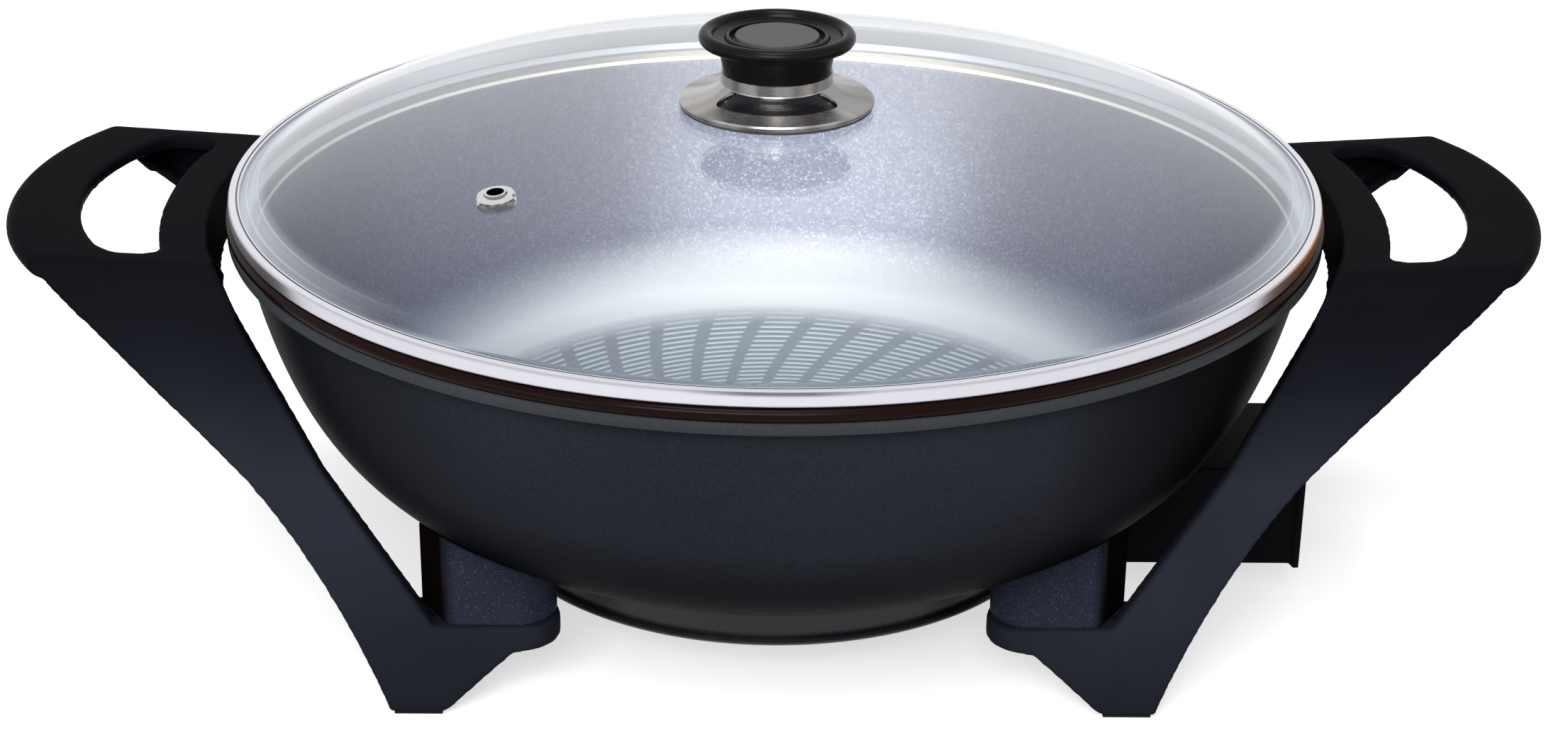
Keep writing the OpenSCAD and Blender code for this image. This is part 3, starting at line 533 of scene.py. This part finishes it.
def clear_glass():
    """Clear glass that lets lamp light through, so that what lies under it stays lit."""
    m = Mat("clear_glass", (0.945, 0.965, 1.0), 0.0, 0.0, Transmission_Weight=1.0, IOR=1.32,
            Specular_IOR_Level=0.04)
    path = m.node("ShaderNodeLightPath")
    lamp_ray = m.math("MAXIMUM", path.outputs["Is Shadow Ray"], path.outputs["Is Diffuse Ray"])
    through = m.node("ShaderNodeBsdfTransparent")
    through.inputs["Color"].default_value = (0.95, 0.97, 0.97, 1)
    clear = m.node("ShaderNodeMixShader")
    m.link(lamp_ray, clear.inputs[0])
    m.link(m.b.outputs[0], clear.inputs[1])
    m.link(through.outputs[0], clear.inputs[2])
    # The steep edge of the dome gathers the pale surroundings, in faint rings
    r = m.radius()
    ring = m.remap(m.stripes(r, GLASS_RINGS), 0.36, 0.47, 0.0, 0.25)
    edge = m.math("ADD", m.remap(r, STEEP_START, STEEP_FULL, 0.0, 0.50), ring)
    edge = m.math("MULTIPLY", edge, m.facing(0.32, 0.60, 0.0, 1.0))
    edge = m.math("MULTIPLY", edge, m.math("GREATER_THAN", r, STEEP_START))
    edge = m.math("MULTIPLY", edge, m.math("SUBTRACT", 1.0, lamp_ray))
    gloss = m.node("ShaderNodeBsdfAnisotropic")
    gloss.inputs["Color"].default_value = (0.76, 0.81, 0.88, 1)
    gloss.inputs["Roughness"].default_value = 0.35
    pale = m.node("ShaderNodeMixShader")
    m.link(edge, pale.inputs[0])
    m.link(clear.outputs[0], pale.inputs[1])
    m.link(gloss.outputs[0], pale.inputs[2])
    m.link(pale.outputs[0], m.nt.nodes["Material Output"].inputs["Surface"])
    m.bump(m.noise(9, 2), 0.02, 0.0004)
    return m.m


# Painted shade by height, as (mm, factor): dark low on the pan, and on the handle-legs paler in the middle
# and dark at the top
PAN_SHADE = [(36, 0.08), (56, 0.14), (94, 1.12), (154, 1.28)]
LEG_SHADE = [(0, 1.0), (35, 1.6), (80, 1.95), (112, 0.8), (138, 0.45), (153, 0.32)]

M = {
    "enamel": enamel("pan_enamel", (0.0120, 0.0135, 0.0180), 0.48, spec=0.005, shade=PAN_SHADE),
    "flange": enamel("pan_flange", (0.030, 0.033, 0.036), 0.42, fleck=0.15),
    "bead": moulded("pan_bead", (0.0065, 0.0026, 0.0022), 0.17, grain=500, strength=0.04, spec=0.035),
    "coating": coating(),
    "paint": enamel("cover_paint", (0.010, 0.0105, 0.013), 0.30, spec=0.3),
    "handle": moulded("handle_phenolic", (0.0088, 0.0096, 0.0138), 0.50, grain=900, strength=0.22,
                      spec=0.007, shade=LEG_SHADE),
    "socket": moulded("socket_phenolic", (0.004, 0.004, 0.005), 0.40, grain=800),
    # The last colour is the dark plum-brown painted shade of the outer sides
    "spacer": speckled("spacer_phenolic", (0.0125, 0.0145, 0.0235), (0.050, 0.060, 0.085),
                       (0.0030, 0.0016, 0.0018)),
    "knob": moulded("knob_phenolic", (0.0045, 0.004, 0.004), 0.24, grain=900, strength=0.06, spec=0.06),
    "disc": moulded("knob_disc_satin", (0.050, 0.049, 0.052), 0.38, grain=1200, strength=0.15, spec=0.08),
    "stem": moulded("stem_phenolic", (0.004, 0.004, 0.006), 0.25, spec=0.2),
    "rubber": moulded("pad_rubber", (0.015, 0.015, 0.015), 0.75, grain=600, strength=0.4),
    "silicone": moulded("silicone", (0.05, 0.05, 0.055), 0.5, grain=600),
    "liner": moulded("liner_silicone", (0.62, 0.65, 0.68), 0.45, grain=600, strength=0.1, spec=0.3),
    # warm is the colour of the painted orange reflection on the band
    "chrome": polished("band_chrome", (0.58, 0.57, 0.62), 0.34, warm=(0.56, 0.22, 0.055)),
    "lip": polished("band_lip", (0.74, 0.75, 0.80), 0.22),
    "groove": polished("band_groove", (0.10, 0.09, 0.11), 0.25),
    "bright": polished("pin_chrome", (0.84, 0.85, 0.86), 0.12, turned=False),
    "satin": satin("collar_satin", (0.385, 0.37, 0.36), 0.28),
    "zinc": polished("screw_zinc", (0.62, 0.63, 0.65), 0.30, turned=False, strength=0.1),
    "steel": polished("plain_steel", (0.60, 0.60, 0.60), 0.28, turned=False, strength=0.1),
    "element": polished("element_sheath", (0.30, 0.28, 0.26), 0.45, turned=False, strength=0.2),
    "ceramic": moulded("ceramic", (0.82, 0.79, 0.72), 0.30, grain=500, strength=0.1, coat=0.4, spec=0.5),
    "brass": polished("insert_brass", (0.72, 0.53, 0.25), 0.25, turned=False, strength=0.1),
    "glass": clear_glass(),
}


def dress(mat, *names):
    for n in names:
        for s in nodes[n].material_slots:
            s.material = M[mat]


CORNERS = ("front_left", "front_right", "rear_left", "rear_right")
SPACERS = ["spacer_" + c for c in CORNERS]
LEGS = ["handle_leg_left", "handle_leg_right"]

dress("paint", "base_cover")
dress("socket", "probe_shroud")
dress("zinc", "base_cover_screws", "shroud_screws", "bracket_screws")
dress("element", "heating_element")
dress("steel", "probe_tube", "knob_screw", "knob_plate_washer")
dress("bright", "terminal_pin_front", "terminal_pin_rear")
dress("ceramic", "terminal_bush_front", "terminal_bush_rear")
dress("rubber", *["foot_pad_" + c for c in CORNERS])
dress("silicone", "knob_gasket", "knob_seat_washer", "knob_lower_washer")
dress("liner", "lid_liner")
dress("brass", "knob_insert")
dress("stem", "knob_stem")
dress("spacer", *SPACERS)
dress("handle", *LEGS)
dress("satin", "knob_collar")

# ---------------------------------------------------------------- pan, in mm

WALL = [(104, 37), (153, 56), (177.5, 73), (191, 145)]
WALL_T = 5.0
COATING_T = 0.3
HOLLOW_R = 103
HOLLOW_HALF_W = 51
HOLLOW_EASE = 44
BEAD_R = 2.25
BEAD_AT = (194.25, 151.75)
ELEMENT_R = 72
ELEMENT_Z = 32.7
CHANNEL_R = 4.05
CHANNEL_HALF_W = 6
CHANNEL_LOW = 28.7
CHANNEL_TOP = 37.5


def dished(side):
    """The inside profile from the middle outwards. Near HOLLOW_R each height is the mean of 25 to both its
    sides, which eases the corner of the floor into a wide hollow."""
    side = [(0, side[0][1])] + side

    def height(r):
        for a, b in zip(side, side[1:]):
            if b[0] >= r:
                return a[1] + (b[1] - a[1]) * (r - a[0]) / max(1e-9, b[0] - a[0])
        return side[-1][1]

    out = [side[0]]
    for r in range(HOLLOW_R - HOLLOW_HALF_W, HOLLOW_R + HOLLOW_HALF_W, 3):
        w = HOLLOW_EASE * max(0, 1 - ((r - HOLLOW_R) / HOLLOW_HALF_W) ** 2)
        out.append((r, sum(height(r + w * k / 12) for k in range(-12, 13)) / 25))
    return out + [q for q in side if q[0] > HOLLOW_R + HOLLOW_HALF_W + 1]


def build_pan():
    outer = [(0, WALL[0][1])] + curve(WALL, 48)
    flange = [(194.6, 145.05), (195.6, 145.5), (195.95, 146.4), (196, 148.6), (195.7, 149.2),
              (195.3, 149.45)]
    bead = arc(*BEAD_AT, BEAD_R, -60, 90, 14)
    ledge = [(193.1, 153.95), (192.6, 153.6), (192.2, 152.6), (191.7, 148.9), (191.4, 148.5),
             (190.9, 148.35)]
    inner = dished(curve(WALL, 60, WALL_T))[::-1]
    inner = [(inner[0][0] + 0.6, inner[0][1] + 0.25)] + inner
    flange_from = len(outer) - 1
    bead_from = flange_from + len(flange)
    inside_from = bead_from + len(bead) + 2

    def which(i):
        """0 on the outer wall, 1 on the flange, 2 on the bead, 3 on the ledge and inside."""
        return (i >= flange_from) + (i >= bead_from) + (i >= inside_from)

    lathe("pan_body", outer + flange + bead + ledge + inner,
          [M["enamel"], M["flange"], M["bead"], M["coating"]], "base", which, 320,
          replaces=("pan",))


def build_lining():
    """The non-stick coating, as its own layer over the inside of the pan."""
    below = dished(curve(WALL, 60, WALL_T - COATING_T / 2))
    above = dished(curve(WALL, 60, WALL_T + COATING_T / 2))
    return lathe("pan_lining", below + above[::-1], [M["coating"]], "base", segs=320)


def build_channel():
    """The cast channel that holds the heating element, under the floor."""
    inner_r = ELEMENT_R - CHANNEL_HALF_W
    outer_r = ELEMENT_R + CHANNEL_HALF_W
    left = [(inner_r, CHANNEL_TOP), (inner_r, CHANNEL_LOW), (ELEMENT_R - CHANNEL_R, CHANNEL_LOW),
            (ELEMENT_R - CHANNEL_R, ELEMENT_Z)]
    right = [(ELEMENT_R + CHANNEL_R, CHANNEL_LOW), (outer_r, CHANNEL_LOW), (outer_r, CHANNEL_TOP)]
    lathe("pan_element_channel", left + arc(ELEMENT_R, ELEMENT_Z, CHANNEL_R, 180, 0, 12) + right,
          [M["enamel"]], "base", segs=96)


build_pan()
lining = build_lining()
build_channel()

# ---------------------------------------------------------------- lid, in mm

LID_Z = 154.3
BAND_TOP = LID_Z + 5.2
DOME = [(0, 185), (105.3, 185), (164.97, 177.66), (190.3, 158.8)]
GLASS_T = 3.5
KNOB_HOLE_R = 5
VENT_R = 124
VENT_ANGLE = math.radians(221)
VENT_HOLE_R = 3.75
VENT_BORE_R = 3.0


def cut_hole(ob, at, axis, r, depth=20):
    bm = bmesh.new()
    bmesh.ops.create_cone(bm, cap_ends=True, segments=48, radius1=r * MM, radius2=r * MM, depth=depth * MM)
    cutter = placed("cutter", mesh_of(bm, "cutter"))
    turn = Vector(axis).to_track_quat("Z", "Y").to_matrix().to_4x4()
    cutter.matrix_world = Matrix.Translation(Vector(at) * MM) @ turn
    mod = ob.modifiers.new("cut", "BOOLEAN")
    mod.operation = "DIFFERENCE"
    mod.solver = "EXACT"
    mod.object = cutter
    bpy.context.view_layer.update()
    me = bpy.data.meshes.new_from_object(ob.evaluated_get(bpy.context.evaluated_depsgraph_get()))
    ob.modifiers.clear()
    ob.data = me
    bpy.data.objects.remove(cutter)
    me.shade_smooth()
    me.set_sharp_from_angle(angle=SHARP)


def build_dome():
    rim = [(193.0, 158.8), (193.7, 158.5), (194.0, 157.6), (194.0, 156.4), (193.6, 155.6), (193.0, 155.35),
           (190.2, 155.35)]
    ob = lathe("lid_dome", curve(DOME, 48) + rim + curve(DOME, 48, -GLASS_T)[::-1], [M["glass"]], "lid",
               replaces=("lid_glass",))
    cut_hole(ob, (0, 0, 183), (0, 0, 1), KNOB_HOLE_R)
    # The steam vent stands square on the dome, at the last of 400 steps inside its radius
    t = max(i for i in range(400) if cubic(DOME, i / 400)[0] <= VENT_R) / 400
    dr, dz = direction(DOME, t)
    c = math.cos(VENT_ANGLE)
    s = math.sin(VENT_ANGLE)
    axis = (-dz * c, -dz * s, dr)
    vent = (VENT_R * c, VENT_R * s, cubic(DOME, t)[1])
    cut_hole(ob, vent, axis, VENT_HOLE_R)
    at = tuple(v * MM for v in vent)
    M["eyelet"] = eyelet("vent_steel", (0.66, 0.66, 0.66), axis, at, VENT_BORE_R * MM)
    dress("eyelet", "vent_eyelet", "vent_ring")
    return ob


def build_band():
    hem = [(190.6, LID_Z - 5.3), (191.3, LID_Z - 5.3), (191.3, LID_Z)]
    low = arc(194.2, LID_Z + 0.8, 0.8, -90, 0, 5)
    high = arc(193.9, BAND_TOP - 1.1, 1.1, 0, 90, 6)
    groove = [(192.3, BAND_TOP), (192.2, BAND_TOP - 0.25), (191.8, BAND_TOP - 0.25), (191.7, BAND_TOP)]
    inner = [(191.2, BAND_TOP), (191, BAND_TOP - 0.2), (191, BAND_TOP - 0.7), (194.3, BAND_TOP - 0.7),
             (194.3, LID_Z + 0.7), (190.6, LID_Z + 0.7)]
    first = len(hem + low + high)

    def which(i):
        """1 in the groove, 2 on the lip at both sides of it, 0 elsewhere."""
        if first <= i < first + 3:
            return 1
        return 2 if first - 4 < i < first + 7 else 0

    return lathe("lid_steel_band", hem + low + high + groove + inner, [M["chrome"], M["groove"], M["lip"]],
                 "lid", which, 320, replaces=("lid_band",))


dome = build_dome()
band = build_band()

# ---------------------------------------------------------------- knob, in mm

NECK_Z = 185.7 + 12
CAP_Z = NECK_Z + 9.8
KNOB_BEAD_R = 2.6
DISC_LOW = CAP_Z + 1.1
DISC_R = 15
SPIGOT_R = 12.05
SPIGOT_TOP = NECK_Z + 6.2


def lifted(points, z):
    return [(r, z + up) for r, up in points]


def build_grip():
    neck = lifted([(19.25, 0), (19.35, 0.5), (19.45, 1), (19.8, 3.2), (20.35, 5.4), (20.9, 7.2),
                   (21.5, 8.8)], NECK_Z)
    under = lifted([(22.2, -0.35), (23.2, -0.1), (24.2, -0.08)], CAP_Z)
    bead = arc(25.4, CAP_Z + 2.5, KNOB_BEAD_R, -80, 118, 20)
    steps = lifted([(23.3, 4.3), (22.9, 3.5), (22.6, 2.9), (22.0, 2.62), (21.0, 2.45), (19.6, 2.3),
                    (18.9, 2.3), (18.65, 2.6), (18.5, 2.95), (18.2, 3.15), (17.4, 3.2), (17.05, 3.05),
                    (16.9, 2.6)], CAP_Z)
    well = [(16.7, DISC_LOW), (0, DISC_LOW)]
    spigot_hole = [(0, SPIGOT_TOP), (SPIGOT_R, SPIGOT_TOP), (SPIGOT_R, NECK_Z)]
    return lathe("knob_grip", neck + under + bead + steps + well + spigot_hole, [M["knob"]], "lid",
                 segs=160, replaces=("knob_cap",))


def build_disc():
    edge = lifted([(DISC_R, 2.9), (14.9, 3.15), (14.65, 3.28), (14.3, 3.3), (0, 3.3)], CAP_Z)
    return lathe("knob_top_disc", [(0, DISC_LOW), (DISC_R, DISC_LOW)] + edge, [M["disc"]], "lid",
                 segs=128, replaces=("knob_disc",))


KNOB_PARTS = ("collar", "stem", "gasket", "seat_washer", "lower_washer", "plate_washer", "screw", "insert")
knob = [build_grip(), build_disc()] + [nodes["knob_" + p] for p in KNOB_PARTS]

# ---------------------------------------------------------------- soft moulded edges


def soften(name, voxel, rounds):
    """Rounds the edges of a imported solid; voxel is in mm."""
    ob = nodes[name]
    skin = ob.modifiers.new("skin", "REMESH")
    skin.mode = "VOXEL"
    skin.voxel_size = voxel * MM
    skin.use_smooth_shade = True
    soft = ob.modifiers.new("soft", "SMOOTH")
    soft.factor = 0.5
    soft.iterations = rounds


for name in LEGS:
    soften(name, 0.9, 16)
for name in SPACERS:
    soften(name, 0.6, 4)
soften("probe_shroud", 0.7, 3)

# ---------------------------------------------------------------- stage and light, in metres

WHITE = (1, 1, 1, 1)
FLOOR_COLOR = (0.55, 0.55, 0.55, 1)
FLOOR_GLOW = 0.62
FLOOR_HALF_W = 6
FLOOR_DROP = 0.0002
SKY = [(0.0, (0.10, 0.105, 0.12, 1)), (0.55, (0.34, 0.355, 0.39, 1))]


def seen(nt):
    """1 for rays from the camera, in gloss and through glass, 0 for light that falls on things."""
    path = nt.nodes.new("ShaderNodeLightPath")
    out = path.outputs["Is Camera Ray"]
    for k in ("Is Glossy Ray", "Is Transmission Ray"):
        either = nt.nodes.new("ShaderNodeMath")
        either.operation = "MAXIMUM"
        nt.links.new(out, either.inputs[0])
        nt.links.new(path.outputs[k], either.inputs[1])
        out = either.outputs[0]
    return out


def stage():
    """A plain floor that looks white and keeps the shadow."""
    bm = bmesh.new()
    bmesh.ops.create_grid(bm, x_segments=1, y_segments=1, size=FLOOR_HALF_W)
    ob = placed("floor", mesh_of(bm, "floor"))
    ob.location.z = -FLOOR_DROP
    m = bpy.data.materials.new("floor_white")
    m.use_nodes = True
    nt = m.node_tree
    shader = nt.nodes["Principled BSDF"]
    shader.inputs["Base Color"].default_value = FLOOR_COLOR
    shader.inputs["Roughness"].default_value = 0.9
    shader.inputs["Emission Color"].default_value = WHITE
    glow = nt.nodes.new("ShaderNodeMath")
    glow.operation = "MULTIPLY"
    glow.inputs[1].default_value = FLOOR_GLOW
    nt.links.new(seen(nt), glow.inputs[0])
    nt.links.new(glow.outputs[0], shader.inputs["Emission Strength"])
    ob.data.materials.append(m)


def world():
    """A grey sky that gets paler upwards, and looks white."""
    w = bpy.data.worlds.new("studio")
    bpy.context.scene.world = w
    w.use_nodes = True
    nt = w.node_tree
    coord = nt.nodes.new("ShaderNodeTexCoord")
    split = nt.nodes.new("ShaderNodeSeparateXYZ")
    nt.links.new(coord.outputs["Generated"], split.inputs[0])
    ramp = nt.nodes.new("ShaderNodeValToRGB")
    for e, (at, color) in zip(ramp.color_ramp.elements, SKY):
        e.position = at
        e.color = color
    nt.links.new(split.outputs["Z"], ramp.inputs["Fac"])
    mix = nt.nodes.new("ShaderNodeMix")
    mix.data_type = "RGBA"
    nt.links.new(seen(nt), mix.inputs[0])
    nt.links.new(ramp.outputs["Color"], mix.inputs[6])
    mix.inputs[7].default_value = WHITE
    nt.links.new(mix.outputs[2], nt.nodes["Background"].inputs["Color"])


def linked(name, objects, state):
    """A collection of the objects that a lamp alone lights or is blocked by, or that it passes over."""
    c = bpy.data.collections.new(name)
    for k, ob in enumerate(objects):
        c.objects.link(ob)
        c.collection_objects[k].light_linking.link_state = state
    return c


bare_lid = [dome, band, lining, nodes["vent_eyelet"], nodes["vent_ring"]]
unlit = linked("lamps_skip", bare_lid, "EXCLUDE")
unblocked = linked("lamps_pass", knob, "EXCLUDE")
inside = linked("inside_only", [lining], "INCLUDE")


def lamp(name, at, look, size, power, color=(1, 1, 1), lights=unlit):
    data = bpy.data.lights.new(name, "AREA")
    data.shape = "RECTANGLE"
    data.size, data.size_y = size
    data.energy = power
    data.color = color
    ob = placed(name, data)
    ob.light_linking.receiver_collection = lights
    ob.light_linking.blocker_collection = unblocked
    ob.location = at
    ob.rotation_euler = (Vector(look) - Vector(at)).to_track_quat("-Z", "Y").to_euler()


BODY = (0, 0, 0.1)
PAN_FLOOR = (0.02, 0.08, 0.08)
BAND_SIDE = (0.19, -0.05, 0.15)
FRONT_HIGH = (-0.32, -1.75, 1.45)
CREAM = (1.0, 0.87, 0.68)
YELLOW = (1.0, 0.87, 0.60)
ORANGE = (1.0, 0.55, 0.25)

stage()
world()
lamp("top", (-0.10, -0.20, 1.9), PAN_FLOOR, (0.6, 0.9), 20)
lamp("front_high", FRONT_HIGH, BODY, (1.3, 1.0), 52)
lamp("inside_top", (0.12, -0.20, 1.9), PAN_FLOOR, (2.2, 0.9), 31, CREAM, inside)
lamp("inside_front", FRONT_HIGH, BODY, (3.2, 1.0), 320, YELLOW, inside)
lamp("front_left", (-1.6, -1.5, 0.7), BODY, (1.0, 0.8), 8)
lamp("front_right", (1.7, -1.2, 0.6), BODY, (0.7, 0.8), 2.5)
lamp("warm", (1.3, -0.35, 0.28), BAND_SIDE, (0.3, 0.12), 0.8, ORANGE)

bpy.context.scene.view_settings.view_transform = "Standard"
